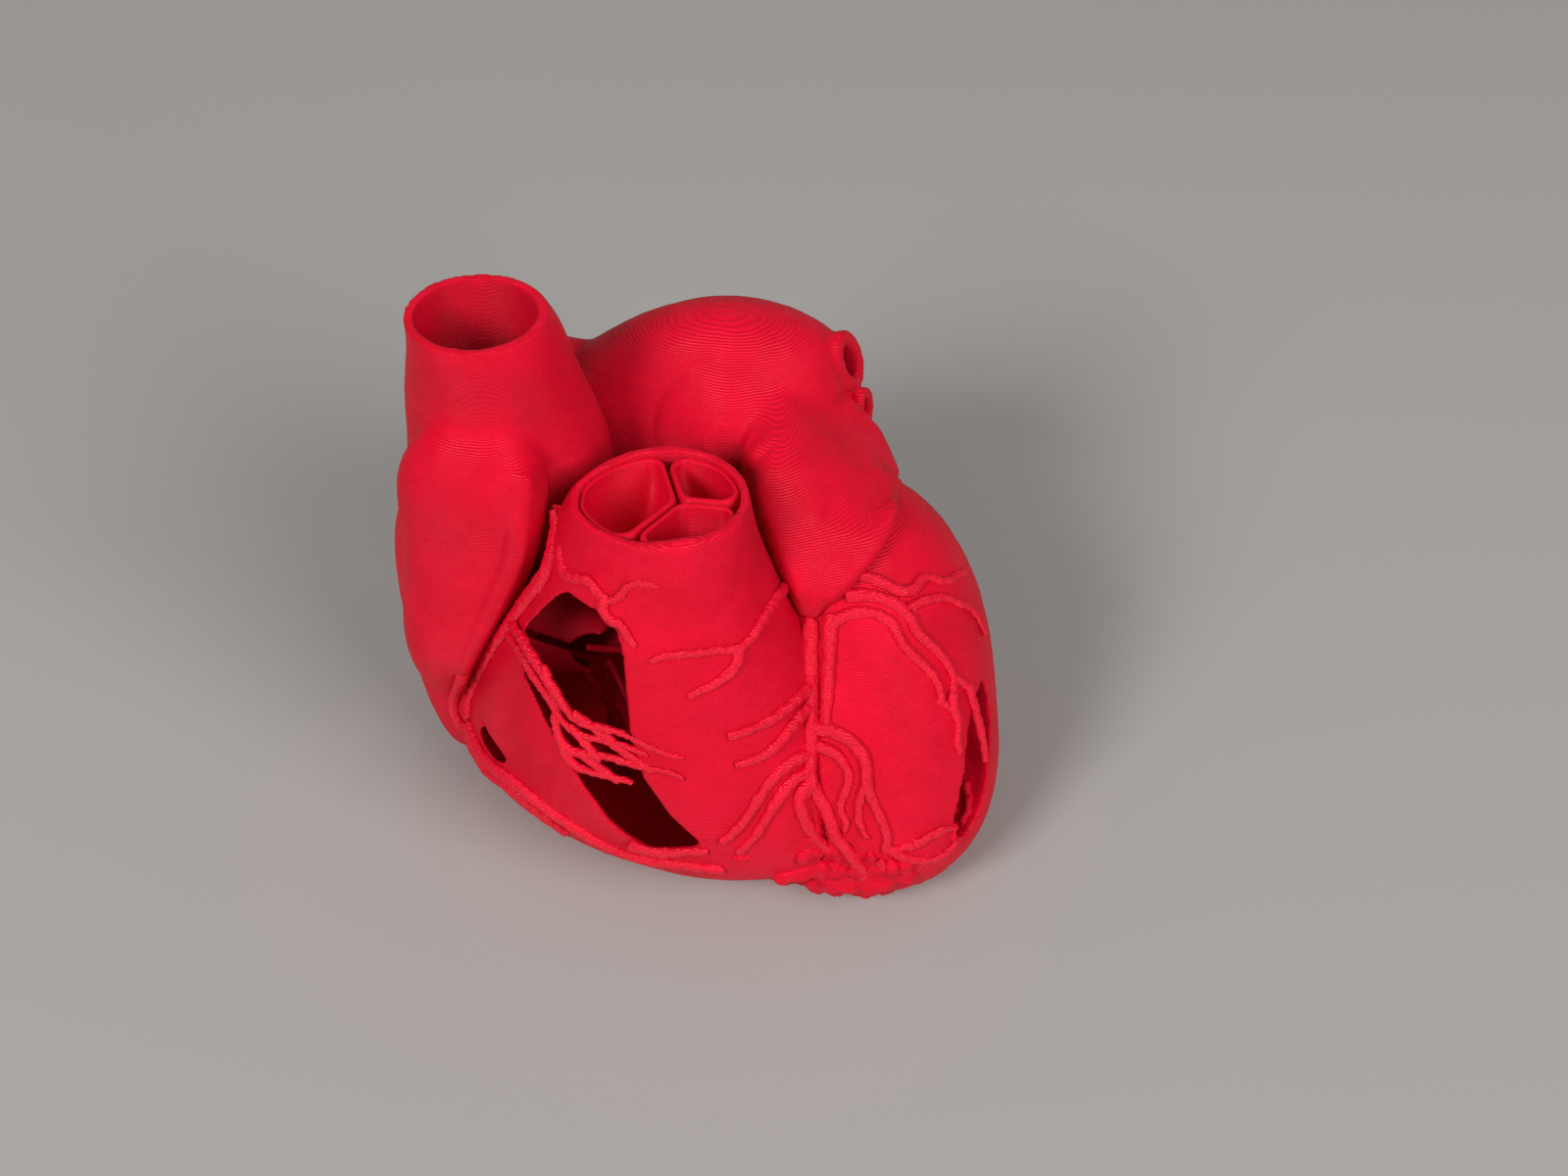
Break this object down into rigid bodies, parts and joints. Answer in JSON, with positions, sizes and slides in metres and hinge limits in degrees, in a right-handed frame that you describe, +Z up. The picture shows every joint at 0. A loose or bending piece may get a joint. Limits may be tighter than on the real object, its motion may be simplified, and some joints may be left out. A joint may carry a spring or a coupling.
{
  "type": "human heart anatomy model",
  "caption": "Life-size heart on its flat base: chambers and veins as thin walls, windows over the ventricles, raised coronary vessels, valves at the arterial mouths.",
  "frame": {"origin": "middle of the bounding box at the rest plane", "axes": "+Z up from the flat diaphragmatic rest face; +X to the heart's own left, towards the left ventricle; +Y to its back, towards the atria"},
  "size_m": [0.0982, 0.0884, 0.084],
  "materials": {
    "print": "satin, with fine level print layers"
  },
  "bodies": {
    "root": {"acute_margin_artery": "print", "acute_margin_vein": "print", "anterior_descending_artery": "print", "anterior_mitral_leaflet": "print", "anterior_papillary_muscle": "print", "anterior_tricuspid_leaflet": "print", "anterolateral_papillary_muscle": "print", "aortic_cusps": "print", "aortic_root": "print", "apical_vessels": "print", "circumflex_artery": "print", "conus_artery": "print", "coronary_sinus": "print", "diagonal_artery": "print", "diagonal_vein": "print", "front_pulmonary_cusp": "print", "great_cardiac_vein": "print", "inferior_vena_cava": "print", "lateral_vein": "print", "left_atrium": "print", "left_auricle": "print", "left_conus_artery": "print", "left_inferior_pulmonary_vein": "print", "left_pulmonary_cusp": "print", "left_superior_pulmonary_vein": "print", "left_ventricle_wall": "print", "lower_marginal_vessels": "print", "middle_cardiac_vein": "print", "mitral_chordae": "print", "mitral_ring": "print", "moderator_band": "print", "obtuse_marginal_artery": "print", "obtuse_marginal_vein": "print", "posterior_descending_artery": "print", "posterior_mitral_leaflet": "print", "posterior_papillary_muscle": "print", "posterior_tricuspid_leaflet": "print", "posteromedial_papillary_muscle": "print", "pulmonary_root": "print", "right_atrium": "print", "right_auricle": "print", "right_auricle_fold": "print", "right_coronary_artery": "print", "right_inferior_pulmonary_vein": "print", "right_marginal_artery": "print", "right_marginal_vein": "print", "right_pulmonary_cusp": "print", "right_superior_pulmonary_vein": "print", "right_ventricle_wall": "print", "right_ventricular_arteries": "print", "right_ventricular_veins": "print", "septal_papillary_muscle": "print", "septal_tricuspid_leaflet": "print", "small_cardiac_vein": "print", "superior_vena_cava": "print", "tricuspid_chordae": "print", "tricuspid_ring": "print", "ventricular_septum": "print", "window_crossing_vein": "print"}
  },
  "joints": []
}
